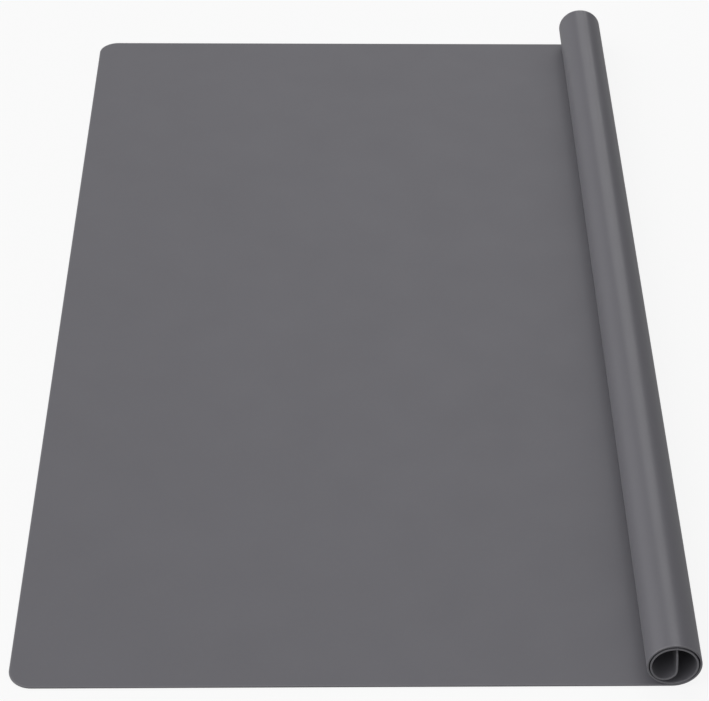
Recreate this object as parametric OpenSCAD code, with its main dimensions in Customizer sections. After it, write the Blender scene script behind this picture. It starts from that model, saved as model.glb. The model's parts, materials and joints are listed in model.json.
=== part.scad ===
// Silicone counter mat: one thin sheet that lies flat, with its right side rolled up over itself.
// The sheet is drawn in strips that meet at bend lines, so that the roll can be laid out flat.
// Z = 0 is the surface that the mat lies on, and the roll runs along Y.

/* [Mat] */
// Length of the mat, along the roll
mat_l = 600; // [450:10:900]
// Width of the whole sheet when it is laid out flat
mat_w = 500; // [400:10:750]
// Thickness of the sheet
sheet_t = 1; // [0.7:0.05:1.4]
// Radius of the four rounded corners
corner_r = 12; // [6:0.5:20]

/* [Roll] */
// Outer diameter of the roll where it leaves the flat field
roll_d = 28.5; // [25:0.5:38]
// Air between two layers where they lie closest
layer_gap = 0.15; // [0.05:0.05:0.5]
// How much more slack the second turn has than the layers need
second_slack = 0.45; // [0.1:0.05:1]
// Outer diameter of the small curl inside the roll
curl_d = 12.6; // [10:0.2:15]
// Angle by which the free edge leans back from upright
tip_lean = 2; // [0:0.5:6]
// Air between the free edge and the layer above it
tip_gap = 0.3; // [0.1:0.05:1]

/* [Bend lines] */
// Air that stays beside a bend line when the sheet is laid out flat
bend_gap = 0.05; // [0.02:0.01:0.2]
// Distance from the roll's shadow line to the end of the open field
shade_gap = 1; // [0.5:0.1:3]

/* [Hidden] */
// Strips in the outer turn, in the second turn and in the inner curl
outer_n = 12;
second_n = 10;
curl_n = 4;
// Flat facets across one strip
facets = 6;
// Angles through which the sheet has turned where each part of the roll ends
outer_end = 360;
second_end = 672;
curl_end = 810;
// Fineness of the rounded corners
corner_fn = 96;
silicone = [0.41, 0.41, 0.43];

strips = outer_n + second_n + curl_n;
outer_r = (roll_d - sheet_t) / 2;
curl_r = (curl_d - sheet_t) / 2;
layer_step = sheet_t + layer_gap;

function two_digits(n) = n < 10 ? str("0", n) : str(n);
function numbered(name, count) = [for (i = [1 : count]) str(name, "_", two_digits(i))];

strip_names = concat(
    numbered("outer_turn", outer_n),
    numbered("second_turn", second_n),
    numbered("inner_curl", curl_n)
);

// The sheet's middle layer as a path: how far it has turned at each bend line, and at each facet's end
function shares(from, to, n) = [for (i = [1 : n]) from + (to - from) * i / n];
bend_at = concat(
    [0],
    shares(0, outer_end, outer_n),
    shares(outer_end, second_end, second_n),
    shares(second_end, curl_end, curl_n)
);
facet_at = concat([0], [for (i = [0 : strips - 1]) each shares(bend_at[i], bend_at[i + 1], facets)]);

// Radius of the middle layer where the sheet has turned by the angle a
function turn_r(a) =
    a <= outer_end ? outer_r - layer_step * a / outer_end
    : a <= second_end ? turn_r(a - outer_end) - layer_step - second_slack
    : curl_r;

function along(a) = [cos(a), sin(a)];
function across(a) = [-sin(a), cos(a)];
function facet_a(i) = (facet_at[i] + facet_at[i + 1]) / 2;
function facet_len(i) = 2 * turn_r(facet_a(i)) * sin((facet_at[i + 1] - facet_at[i]) / 2);

facet_n = strips * facets;
path = [
    for (i = 0, p = [0, sheet_t / 2]; i <= facet_n;
        p = i < facet_n ? p + facet_len(i) * along(facet_a(i)) : p, i = i + 1) p
];

// Height of the second turn above a place under it, for the room that the free edge has
over_tip = [for (i = [facet_n : -1 : 0])
    if (facet_at[i] > outer_end + 90 && facet_at[i] < outer_end + 270) path[i]];
curl_tip = path[facet_n];
tip_a = curl_end + tip_lean;
tip_room = lookup(curl_tip.x, over_tip) - sheet_t / 2 - tip_gap - curl_tip.y;
tip_len = tip_room / sin(tip_a - 2 * outer_end);

facet_lens = [for (i = [0 : facet_n - 1]) facet_len(i)];
rolled_w = facet_lens * [for (l = facet_lens) 1] + tip_len;
flat_w = mat_w - rolled_w;

// Room beside a bend line, so that neighbours never press into each other
widest_bend = (curl_end - second_end) / curl_n;
bend_room = (sheet_t * tan(widest_bend / 2) + bend_gap) / 2;
// A short free edge limits the rounding of its corners
tip_corner_r = min(corner_r, tip_len - 2 * bend_room);

// The open field ends just short of the roll that hangs over the sheet
shade_x = min([for (p = path) p.x]) - sheet_t / 2 - shade_gap;
// The origin is at the middle of the open field's underside
tangent_x = (flat_w - shade_x) / 2;

// One side of a strip, from facet i to facet j: side 1 is the roll's inside and side -1 its outside
function strip_side(i, j, side) = concat(
    [path[i] + bend_room * along(facet_a(i)) + side * sheet_t / 2 * across(facet_a(i))],
    [for (k = [i + 1 : j - 1])
        path[k] + side * sheet_t / 2 / cos((facet_a(k) - facet_a(k - 1)) / 2)
            * across((facet_a(k) + facet_a(k - 1)) / 2)],
    [path[j] - bend_room * along(facet_a(j - 1)) + side * sheet_t / 2 * across(facet_a(j - 1))]
);

function backwards(list) = [for (i = [len(list) - 1 : -1 : 0]) list[i]];

// Places what is drawn in the X-Z plane of the roll, at the tangent line
module at_tangent() {
    translate([tangent_x, 0, 0])
        rotate([90, 0, 0])
            children();
}

// The open part of the mat, with the two rounded corners on its left side
module flat_field() {
    color(silicone)
        translate([tangent_x - flat_w, 0, 0])
            linear_extrude(sheet_t) {
                translate([corner_r, -mat_l / 2])
                    square([flat_w + shade_x - corner_r, mat_l]);
                translate([0, corner_r - mat_l / 2])
                    square([corner_r * 2, mat_l - 2 * corner_r]);
                for (side = [-1, 1])
                    translate([corner_r, side * (mat_l / 2 - corner_r)])
                        circle(corner_r, $fn = corner_fn);
            }
}

// The flat strip that lies in the roll's shade, up to the line where the sheet turns up
module under_roll() {
    color(silicone)
        translate([tangent_x + shade_x, -mat_l / 2, 0])
            cube([-shade_x - bend_room, mat_l, sheet_t]);
}

// One bent strip of the roll, from one bend line to the next
module strip(i) {
    first = i * facets;
    last = first + facets;
    color(silicone)
        at_tangent()
            linear_extrude(mat_l, center = true)
                polygon(concat(strip_side(first, last, -1), backwards(strip_side(first, last, 1))));
}

// The sheet's free edge inside the roll, with its two rounded corners
module free_edge() {
    color(silicone)
        at_tangent()
            translate([curl_tip.x, curl_tip.y, 0])
                rotate([0, 0, tip_a])
                    rotate([90, 0, 0])
                        linear_extrude(sheet_t, center = true) {
                            translate([bend_room, -mat_l / 2])
                                square([tip_len - tip_corner_r - bend_room, mat_l]);
                            translate([bend_room, tip_corner_r - mat_l / 2])
                                square([tip_len - bend_room, mat_l - 2 * tip_corner_r]);
                            for (side = [-1, 1])
                                translate([tip_len - tip_corner_r, side * (mat_l / 2 - tip_corner_r)])
                                    intersection() {
                                        circle(tip_corner_r, $fn = corner_fn);
                                        translate([0, -tip_corner_r])
                                            square(tip_corner_r * 2);
                                    }
                        }
}

flat_field();
under_roll();
for (i = [0 : strips - 1])
    strip(i);
free_edge();
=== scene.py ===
import json
import math

import bmesh
import bpy
from mathutils import Matrix, Vector


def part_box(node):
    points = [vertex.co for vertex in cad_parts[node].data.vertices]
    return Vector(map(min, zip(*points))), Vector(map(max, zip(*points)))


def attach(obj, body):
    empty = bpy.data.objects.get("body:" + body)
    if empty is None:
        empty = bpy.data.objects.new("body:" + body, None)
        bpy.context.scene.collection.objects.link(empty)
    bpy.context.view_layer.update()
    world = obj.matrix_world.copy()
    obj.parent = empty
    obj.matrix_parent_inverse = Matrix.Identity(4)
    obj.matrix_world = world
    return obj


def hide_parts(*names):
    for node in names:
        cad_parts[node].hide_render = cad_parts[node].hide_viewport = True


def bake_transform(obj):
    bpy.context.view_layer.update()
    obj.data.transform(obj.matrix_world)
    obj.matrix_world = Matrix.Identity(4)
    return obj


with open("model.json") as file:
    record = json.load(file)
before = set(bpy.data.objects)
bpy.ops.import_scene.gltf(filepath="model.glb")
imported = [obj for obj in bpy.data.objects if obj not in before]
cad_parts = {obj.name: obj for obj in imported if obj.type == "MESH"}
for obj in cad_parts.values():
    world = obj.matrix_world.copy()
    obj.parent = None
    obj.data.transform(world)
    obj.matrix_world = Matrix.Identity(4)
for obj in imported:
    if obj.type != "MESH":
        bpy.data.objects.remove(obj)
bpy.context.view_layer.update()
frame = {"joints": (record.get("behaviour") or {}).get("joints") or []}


# The open field. The whole mat is one sheet of compression-moulded silicone, trimmed with rounded corners
# and a softly rounded edge. This part of it lies flat on the worktop, from the left edge to where the
# sheet starts to turn up into the roll.
mat_width = 0.5
mat_length = 0.6
corner_radius = 0.012
corner_steps = 24
soft_edge = 0.0003
soft_edge_steps = 4
flat_before_roll = 0.0034
field_low, field_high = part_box("flat_field")
sheet_thickness = field_high.z - field_low.z
bend_lines = [Vector(joint["pos_m"]) for joint in frame["joints"]]
field_end = bend_lines[0].x - flat_before_roll
# A narrow flat band beside the rounded edge keeps the wide faces evenly shaded
firm_margin = 0.0004


def edge_profile():
    """The rounded edge from the upper face to the underside: (distance in from the edge, height)."""
    half = sheet_thickness / 2
    upper = [(soft_edge + firm_margin, half)]
    for n in range(soft_edge_steps + 1):
        turn = math.pi / 2 * (1 - n / soft_edge_steps)
        inward = soft_edge * (1 - math.cos(turn))
        height = half - soft_edge * (1 - math.sin(turn))
        upper.append((inward, height))
    return upper + [(inward, -height) for inward, height in reversed(upper)]


edge_points = edge_profile()


def store_places(mesh, name, places):
    """Stores where each point lies on the sheet, under that name: across it, along it and in its depth."""
    stored = mesh.attributes.new(name, "FLOAT_VECTOR", "POINT")
    stored.data.foreach_set("vector", [value for place in places for value in place])


def silicone_mesh(name, points, places, faces, cut_faces):
    """A closed piece of the sheet. Its cut faces meet the next piece, so their borders stay sharp."""
    mesh = bpy.data.meshes.new(name)
    mesh.from_pydata(points, [], faces + cut_faces)
    store_places(mesh, "sheet_place", places)
    shell = bmesh.new()
    shell.from_mesh(mesh)
    bmesh.ops.recalc_face_normals(shell, faces=shell.faces)
    shell.faces.ensure_lookup_table()
    for face in shell.faces:
        face.smooth = True
    for face in shell.faces[len(faces):]:
        for edge in face.edges:
            edge.smooth = False
    shell.to_mesh(mesh)
    shell.free()
    mesh.materials.append(silicone)
    piece = bpy.data.objects.new(name, mesh)
    bpy.context.scene.collection.objects.link(piece)
    return piece


def cut_face(ring):
    """Triangles across the sheet's section, from one point of its rounded edge, so that each has an area."""
    apex = len(edge_points) // 2 - 1
    ring = ring[apex:] + ring[:apex]
    return [(ring[0], ring[n], ring[n + 1]) for n in range(1, len(ring) - 1)]


def flat_piece(name, seam, edge, first_place, place_at):
    """A flat piece between a seam and an outer edge of the mat, with that edge's two rounded corners."""
    side = 1 if edge > seam else -1
    first_across = min(seam, edge)
    corner_middle = edge - side * corner_radius
    points, places, faces = [], [], []
    for inward, height in edge_points:
        radius = corner_radius - inward
        half_ring = [(seam, mat_length / 2 - inward)]
        for n in range(corner_steps + 1):
            turn = math.pi / 2 * n / corner_steps
            across = corner_middle + side * radius * math.sin(turn)
            along = mat_length / 2 - corner_radius + radius * math.cos(turn)
            half_ring.append((across, along))
        ring = [(across, -along) for across, along in half_ring] + half_ring[::-1]
        for across, along in ring:
            points.append(place_at(across, along, height))
            places.append((first_place + abs(across - first_across), along, height))
    count = len(ring)
    for row in range(len(edge_points) - 1):
        for n in range(count - 1):
            low = row * count + n
            faces.append((low, low + 1, low + 1 + count, low + count))
    # The upper face and the underside
    last = (len(edge_points) - 1) * count
    faces.append(tuple(range(count)))
    faces.append(tuple(range(last + count - 1, last - 1, -1)))
    near_cut = [row * count for row in range(len(edge_points))]
    far_cut = [row * count + count - 1 for row in reversed(range(len(edge_points)))]
    return silicone_mesh(name, points, places, faces, cut_face(near_cut + far_cut))


def add_node(tree, kind, sockets=None, **settings):
    """A node with its settings. Each socket, by name or number, gets another node's result or a value."""
    node = tree.nodes.new(kind)
    for setting, value in settings.items():
        setattr(node, setting, value)
    for socket, value in (sockets or {}).items():
        if isinstance(value, bpy.types.NodeSocket):
            tree.links.new(value, node.inputs[socket])
        else:
            node.inputs[socket].default_value = value
    return node


def number(tree, operation, *values):
    """A node's result from one, two or three numbers."""
    return add_node(tree, "ShaderNodeMath", dict(enumerate(values)), operation=operation).outputs[0]


def vector(tree, operation, first, second=None):
    """A node's result from one or two vectors, or from a vector and its scale."""
    sockets = {0: first}
    if second is not None:
        sockets["Scale" if operation == "SCALE" else 1] = second
    node = add_node(tree, "ShaderNodeVectorMath", sockets, operation=operation)
    return node.outputs["Value" if operation in ("LENGTH", "DOT_PRODUCT") else "Vector"]


def moulded_silicone():
    """Dark grey silicone with a moulded skin, faintly speckled, a little polished along its edges, with a
    painted highlight there.
    """
    material = bpy.data.materials.new("moulded_silicone")
    material.use_nodes = True
    tree = material.node_tree
    tree.nodes.clear()
    place = add_node(tree, "ShaderNodeAttribute", attribute_name="sheet_place").outputs["Vector"]

    def noise(marks_per_metre, detail, rough=0.5):
        sockets = {"Vector": place, "Scale": marks_per_metre, "Detail": detail, "Roughness": rough}
        return add_node(tree, "ShaderNodeTexNoise", sockets).outputs["Fac"]

    def spread(value, given, wanted, kind="LINEAR"):
        """Carries a value from the given range over to the wanted one."""
        sockets = {"Value": value, "From Min": given[0], "From Max": given[1],
                   "To Min": wanted[0], "To Max": wanted[1]}
        return add_node(tree, "ShaderNodeMapRange", sockets, interpolation_type=kind).outputs["Result"]

    def mix(share, first, second):
        return add_node(tree, "ShaderNodeMix", {0: share, 6: first, 7: second}, data_type="RGBA").outputs[2]

    # A band along the outline and round its corners, no further than 1.1 mm in from it: the skin is polished
    # there, and a paler grey paints a highlight on it
    edge_band_starts = corner_radius - 0.0011
    edge_band_full = corner_radius - 0.0001
    from_centre = vector(tree, "SUBTRACT", place, (mat_width / 2, 0, 0))
    past_corner = vector(tree, "SUBTRACT", vector(tree, "ABSOLUTE", from_centre),
                         (mat_width / 2 - corner_radius, mat_length / 2 - corner_radius, 1))
    reach = vector(tree, "LENGTH", vector(tree, "MAXIMUM", past_corner, (0, 0, 0)))
    edge_highlight_and_rub = spread(reach, (edge_band_starts, edge_band_full), (0, 1), "SMOOTHSTEP")

    # Faint clouds in the pigment, a fine paler speckle on them, and a painted highlight along the edges
    pigment = (0.1203, 0.1179, 0.1317, 1)
    cloudy_pigment = (0.1234, 0.1210, 0.1354, 1)
    speckle_grey = (0.1331, 0.1307, 0.1441, 1)
    # The paler grey of the painted highlight along the edges
    edge_highlight_grey = (0.185, 0.182, 0.194, 1)
    clouds_per_metre = 13
    cloud_fade = (0.35, 0.65)
    specks_per_metre = 420
    speck_fade = (0.4, 0.62)
    speck_strength = (0.05, 0.16)
    edge_highlight_strength = 0.5
    clouds = spread(noise(clouds_per_metre, detail=3), cloud_fade, (0, 1))
    specks = spread(noise(specks_per_metre, detail=4, rough=0.6), speck_fade, (0, 1))
    base = mix(clouds, pigment, cloudy_pigment)
    speckled = mix(specks, base, speckle_grey)
    skin = mix(spread(specks, (0, 1), speck_strength), base, speckled)
    # Painted highlight: the edges are mixed towards the paler grey
    colour = mix(spread(edge_highlight_and_rub, (0, 1), (0, edge_highlight_strength)), skin, edge_highlight_grey)

    # The upper face is matter than the underside, which is the one that shows on the roll. One finish gives
    # way to the other on the rounded edge.
    underside_roughness = 0.33
    upper_face_roughness = 0.52
    finish_change = (-0.0003, 0.0003)
    patches_per_metre = 38
    patch_fade = (0.3, 0.7)
    patch_roughness = 0.05
    rub_polish = 0.06
    height = add_node(tree, "ShaderNodeSeparateXYZ", {0: place}).outputs["Z"]
    by_face = spread(height, finish_change, (underside_roughness, upper_face_roughness))
    patches = spread(noise(patches_per_metre, detail=3), patch_fade, (0, patch_roughness))
    polish = spread(edge_highlight_and_rub, (0, 1), (0, rub_polish))
    roughness = number(tree, "SUBTRACT", number(tree, "ADD", by_face, patches), polish)

    # A fine moulded grain, over faint waves about as wide as a hand
    grains_per_metre = 2300
    waves_per_metre = 9
    grain = add_node(tree, "ShaderNodeBump", {
        "Strength": 0.35, "Distance": 0.00004, "Height": noise(grains_per_metre, detail=2)})
    waves = add_node(tree, "ShaderNodeBump", {
        "Strength": 0.25, "Distance": 0.0004, "Height": noise(waves_per_metre, detail=1),
        "Normal": grain.outputs["Normal"]})

    shader = add_node(tree, "ShaderNodeBsdfPrincipled", {
        "Base Color": colour, "Roughness": roughness, "Normal": waves.outputs["Normal"],
        "IOR": 1.41, "Specular IOR Level": 0.5, "Sheen Weight": 0.05, "Sheen Roughness": 0.5})
    add_node(tree, "ShaderNodeOutputMaterial", {"Surface": shader.outputs[0]})
    return material


silicone = moulded_silicone()
open_field = flat_piece(
    "open_field", field_end, field_low.x, 0,
    lambda across, along, height: (across, along, sheet_thickness / 2 + height))
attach(open_field, "field")
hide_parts("flat_field", "under_roll")


# The roll. The right side of the same sheet, rolled up over itself: a wide outer turn, a second turn inside
# it, and a small curl. It is held by nothing but its own set, and opens out flat again, so each piece of it
# runs from the middle of one strip to the middle of the next and bends across the hinge between them.
straight_after_curl = 0.002
# A bend is a curve led by a handle at each end. Handles of this share of its chord make it round.
handle_share = 0.339
# A bent piece has this many rows, and a narrow one at each end that keeps its shading even at the seam
rows_per_bend = 12
narrow_row = 0.01

# The parts of the roll: how many strips each has, and how far the sheet has turned at its end, in degrees
outer_turn = (12, 360)
second_turn = (10, 672)
inner_curl = (4, 810)
free_edge_angle = 812
turned = [0.0]
for strips, end_angle in (outer_turn, second_turn, inner_curl):
    first_angle = turned[-1]
    turned += [first_angle + (end_angle - first_angle) * n / strips for n in range(1, strips + 1)]


def heading(angle):
    """Which way the sheet runs where it has turned by that angle."""
    return Vector((math.cos(math.radians(angle)), 0, math.sin(math.radians(angle))))


def inside(angle):
    """The way from the sheet's underside to its upper face, which is the roll's inside."""
    return Vector((-math.sin(math.radians(angle)), 0, math.cos(math.radians(angle))))


# The seams between the pieces: each one's place, its angle and its distance from the mat's left edge.
# From one bend line to the next the sheet is an arc, and the seam is at the arc's middle.
seams = [(Vector((field_end, 0, sheet_thickness / 2)), 0.0, field_end - field_low.x)]
run = bend_lines[0].x - field_low.x
for n in range(len(bend_lines) - 1):
    chord = bend_lines[n + 1] - bend_lines[n]
    chord_middle = (bend_lines[n] + bend_lines[n + 1]) / 2
    turn = math.radians(turned[n + 1] - turned[n])
    arc = chord.length * (turn / 2) / math.sin(turn / 2)
    angle = (turned[n] + turned[n + 1]) / 2
    bulge = chord.length / 2 * math.tan(turn / 4)
    seams.append((chord_middle - inside(angle) * bulge, angle, run + arc / 2))
    run += arc
seams.append((bend_lines[-1] + heading(free_edge_angle) * straight_after_curl, free_edge_angle,
              run + straight_after_curl))

# The ring of points round the sheet's section, and the shares of a bent piece's length that have one
section = [(inward - mat_length / 2, height) for inward, height in edge_points]
section += [(-along, height) for along, height in reversed(section)]
shares = sorted({n / rows_per_bend for n in range(rows_per_bend + 1)} | {narrow_row, 1 - narrow_row})


def even_bend():
    """Keeps a bent piece evenly curved between its two ends, however far the roll has opened."""
    tree = bpy.data.node_groups.new("even_bend", "GeometryNodeTree")
    tree.interface.new_socket("Geometry", in_out="INPUT", socket_type="NodeSocketGeometry")
    tree.interface.new_socket("Geometry", in_out="OUTPUT", socket_type="NodeSocketGeometry")
    given = add_node(tree, "NodeGroupInput").outputs[0]
    position = add_node(tree, "GeometryNodeInputPosition").outputs[0]

    def point(index):
        """Where the piece's point of that number is now."""
        sockets = {"Geometry": given, "Value": position, "Index": index}
        return add_node(tree, "GeometryNodeSampleIndex", sockets, data_type="FLOAT_VECTOR").outputs["Value"]

    def split(value):
        return add_node(tree, "ShaderNodeSeparateXYZ", {0: value}).outputs

    def upright(x, z):
        """A place or a direction in the plane of the roll's section."""
        return add_node(tree, "ShaderNodeCombineXYZ", {"X": x, "Z": z}).outputs[0]

    def end_of(row):
        """The middle of the sheet at that row, and which way it runs there."""
        upper = point(row * len(section))
        under = point(row * len(section) + len(edge_points) - 1)
        middle = split(vector(tree, "SCALE", vector(tree, "ADD", upper, under), 0.5))
        up = split(vector(tree, "NORMALIZE", vector(tree, "SUBTRACT", upper, under)))
        return upright(middle["X"], middle["Z"]), upright(up["Z"], number(tree, "MULTIPLY", up["X"], -1))

    stored = add_node(tree, "GeometryNodeInputNamedAttribute", {"Name": "bend_place"},
                      data_type="FLOAT_VECTOR")
    share, along, height = split(stored.outputs["Attribute"])
    start, start_way = end_of(0)
    finish, finish_way = end_of(len(shares) - 1)
    chord_length = vector(tree, "LENGTH", vector(tree, "SUBTRACT", finish, start))
    handle = number(tree, "MULTIPLY", chord_length, handle_share)
    second = vector(tree, "ADD", start, vector(tree, "SCALE", start_way, handle))
    third = vector(tree, "SUBTRACT", finish, vector(tree, "SCALE", finish_way, handle))

    def between(first, last):
        across = vector(tree, "SUBTRACT", last, first)
        return vector(tree, "ADD", first, vector(tree, "SCALE", across, share))

    one = between(start, second)
    two = between(second, third)
    three = between(third, finish)
    four = between(one, two)
    five = between(two, three)
    # The sheet's middle stays at least half its thickness above the worktop
    middle = split(between(four, five))
    resting = upright(middle["X"], number(tree, "MAXIMUM", middle["Z"], sheet_thickness / 2))
    way = split(vector(tree, "NORMALIZE", vector(tree, "SUBTRACT", five, four)))
    up = upright(number(tree, "MULTIPLY", way["Z"], -1), way["X"])
    in_section = vector(tree, "ADD", resting, vector(tree, "SCALE", up, height))
    along_roll = add_node(tree, "ShaderNodeCombineXYZ", {"Y": along}).outputs[0]
    placed = add_node(tree, "GeometryNodeSetPosition", {
        "Geometry": given, "Position": vector(tree, "ADD", in_section, along_roll)})
    add_node(tree, "NodeGroupOutput", {0: placed.outputs[0]})
    return tree


bend_nodes = even_bend()


def bent_piece(name, start_seam, end_seam):
    """A piece of the roll between two seams, across one hinge."""
    start, start_angle, start_run = start_seam
    end, end_angle, end_run = end_seam
    handle = (end - start).length * handle_share
    second = start + heading(start_angle) * handle
    third = end - heading(end_angle) * handle
    points, places, bend_places, faces = [], [], [], []
    for share in shares:
        one = start.lerp(second, share)
        two = second.lerp(third, share)
        three = third.lerp(end, share)
        four = one.lerp(two, share)
        five = two.lerp(three, share)
        way = (five - four).normalized()
        up = Vector((-way.z, 0, way.x))
        middle = four.lerp(five, share)
        middle.z = max(middle.z, sheet_thickness / 2)
        for along, height in section:
            points.append(middle + up * height + Vector((0, along, 0)))
            places.append((start_run + (end_run - start_run) * share, along, height))
            bend_places.append((share, along, height))
    count = len(section)
    for row in range(len(shares) - 1):
        for n in range(count):
            low = row * count + n
            high = row * count + (n + 1) % count
            faces.append((low, high, high + count, low + count))
    last_row = len(points) - count
    cut_faces = cut_face(list(range(count))) + cut_face(list(range(last_row, len(points))))
    piece = silicone_mesh(name, points, places, faces, cut_faces)
    store_places(piece.data, "bend_place", bend_places)
    piece.modifiers.new("even_bend", "NODES").node_group = bend_nodes
    return piece


for n, joint in enumerate(frame["joints"]):
    rolled = bent_piece(joint["child"] + "_bend", seams[n], seams[n + 1])
    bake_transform(rolled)
    if joint["child"] != "free_edge":
        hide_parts(joint["child"])


# The free edge. The last few millimetres of the sheet stand up straight inside the roll, and end in the
# mat's right-hand edge with its two rounded corners, trimmed and softened like the left-hand ones.
free_edge_way = heading(free_edge_angle)
free_edge_up = inside(free_edge_angle)
# It leans a little, so one corner of its end is highest
free_edge_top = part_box("free_edge")[1].z
free_edge_rise = free_edge_top - bend_lines[-1].z - sheet_thickness / 2 * abs(free_edge_up.z)
free_edge_length = free_edge_rise / free_edge_way.z
edge_lip = flat_piece(
    "free_edge_lip", straight_after_curl, free_edge_length, seams[-1][2],
    lambda across, along, height: (
        bend_lines[-1] + free_edge_way * across + free_edge_up * height + Vector((0, along, 0))))
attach(edge_lip, "free_edge")
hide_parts("free_edge")


# The studio: a pale round worktop that curves up at its far rim into pale walls and a ceiling, much larger
# than the view. It isn't part of the object. Only the camera sees it, so it gives the mat no light or shade.
worktop_radius = 18.0
# A little below the mat, so that the two faces never lie in one plane
worktop_drop = 0.0002
rim_radius = 6.0
rim_step = 15
wall_height = 14.0
ceiling_height = 26.0
room_sides = 96
room_profile = []
for angle in range(0, 90 + rim_step, rim_step):
    rim_out = worktop_radius + rim_radius * math.sin(math.radians(angle))
    rim_up = rim_radius * (1 - math.cos(math.radians(angle))) - worktop_drop
    room_profile.append((rim_out, rim_up))
room_profile.append((worktop_radius + rim_radius, wall_height))
room_profile.append((worktop_radius, ceiling_height))
room_points = []
for radius, height in room_profile:
    for n in range(room_sides):
        turn = 2 * math.pi * n / room_sides
        room_points.append((radius * math.cos(turn), radius * math.sin(turn), height))
room_faces = []
for row in range(len(room_profile) - 1):
    for n in range(room_sides):
        low = row * room_sides + n
        high = row * room_sides + (n + 1) % room_sides
        room_faces.append((low, high, high + room_sides, low + room_sides))
room_faces.append(tuple(range(room_sides)))
room_faces.append(tuple(range(len(room_points) - room_sides, len(room_points))))
worktop_mesh = bpy.data.meshes.new("worktop")
worktop_mesh.from_pydata(room_points, [], room_faces)
worktop = bpy.data.objects.new("worktop", worktop_mesh)
for rays in ("diffuse", "glossy", "transmission", "shadow", "volume_scatter"):
    setattr(worktop, "visible_" + rays, False)
bpy.context.scene.collection.objects.link(worktop)
pale_grey = (0.08, 0.08, 0.08, 1)
white = (1, 1, 1, 1)
worktop_roughness = 0.9
worktop_glow = 0.88
pale = bpy.data.materials.new("pale_worktop")
pale.use_nodes = True
pale.node_tree.nodes.clear()
pale_shader = add_node(pale.node_tree, "ShaderNodeBsdfPrincipled", {
    "Base Color": pale_grey, "Roughness": worktop_roughness, "Specular IOR Level": 0.0,
    "Emission Color": white, "Emission Strength": worktop_glow})
add_node(pale.node_tree, "ShaderNodeOutputMaterial", {"Surface": pale_shader.outputs[0]})
worktop_mesh.materials.append(pale)


# The studio light: soft light from high on the left, from the right, the front and overhead, and three
# tall soft boxes behind the mat, whose reflections run along the top of the roll.
studio = bpy.data.worlds.new("studio")
bpy.context.scene.world = studio
studio.use_nodes = True
room = studio.node_tree
room_way = add_node(room, "ShaderNodeTexCoord").outputs["Generated"]


def room_light(towards, tightness, strength):
    """Soft light from one side of the room, brightest in that direction."""
    facing = vector(room, "DOT_PRODUCT", room_way, Vector(towards).normalized())
    lit = number(room, "MAXIMUM", facing, 0)
    return number(room, "MULTIPLY", number(room, "POWER", lit, tightness), strength)


from_left = room_light((-1, 0, 0.5), tightness=3, strength=2.33)
from_right = room_light((1, 0, 0.1), tightness=4, strength=1.08)
from_front = room_light((0, -1, 0.8), tightness=8, strength=0.85)
from_overhead = room_light((0, 0, 1), tightness=3, strength=0.28)
from_floor = 0.34
from_sides = number(room, "ADD", from_left, from_right)
from_above = number(room, "ADD", number(room, "ADD", from_sides, from_front), from_overhead)
height_in_room = add_node(room, "ShaderNodeSeparateXYZ", {0: room_way}).outputs["Z"]
over_worktop = number(room, "GREATER_THAN", height_in_room, 0)
upper_light = number(room, "MULTIPLY", over_worktop, from_above)
under_worktop = number(room, "SUBTRACT", 1, over_worktop)
all_light = number(room, "MULTIPLY_ADD", under_worktop, from_floor, upper_light)
background = room.nodes["Background"]
background.inputs["Color"].default_value = white
room.links.new(all_light, background.inputs["Strength"])

soft_box_width = 0.48
soft_box_height = 8.4
soft_box_back = 6.6
soft_box_rise = 6.3
soft_box_aim = Vector((0.17, 0, 0))
for side, across, power in (("left", -0.4, 60), ("middle", 1.0, 64), ("right", 2.45, 78)):
    soft_box_place = Vector((across, soft_box_back, soft_box_rise))
    lamp = bpy.data.lights.new("back_soft_box_" + side, "AREA")
    lamp.shape = "RECTANGLE"
    lamp.size = soft_box_width
    lamp.size_y = soft_box_height
    lamp.energy = power
    soft_box = bpy.data.objects.new("back_soft_box_" + side, lamp)
    soft_box.location = soft_box_place
    soft_box.rotation_mode = "QUATERNION"
    soft_box.rotation_quaternion = (soft_box_aim - soft_box_place).to_track_quat("-Z", "Y")
    soft_box.visible_camera = False
    bpy.context.scene.collection.objects.link(soft_box)


# The camera, at the photograph's viewing angle: a long lens, high in front of the mat's near end. Its place,
# its angles and its small shift were fitted to the mat's outline in the photograph.
picture_width_px = 709
focal_length_px = 2402.39
lens_shift = -0.0729
camera_place = Vector((0.00742, -1.11684, 0.86442))
pitch = math.radians(38.62145)
yaw = math.radians(2.00348)
roll = math.radians(-1.2175)
eye = bpy.data.cameras.new("camera")
eye.sensor_width = 36
eye.lens = focal_length_px / picture_width_px * eye.sensor_width
eye.shift_x = lens_shift
eye.clip_start = 0.05
eye.clip_end = 100
camera = bpy.data.objects.new("camera", eye)
forward = Vector((math.sin(yaw) * math.cos(pitch), math.cos(yaw) * math.cos(pitch), -math.sin(pitch)))
level_right = Vector((math.cos(yaw), -math.sin(yaw), 0))
level_down = forward.cross(level_right)
right = math.cos(roll) * level_right + math.sin(roll) * level_down
down = -math.sin(roll) * level_right + math.cos(roll) * level_down
turn_to_view = Matrix((right, -down, -forward)).transposed().to_4x4()
camera.matrix_world = Matrix.Translation(camera_place) @ turn_to_view
bpy.context.scene.collection.objects.link(camera)
bpy.context.scene.camera = camera
bpy.context.scene.view_settings.view_transform = "Standard"
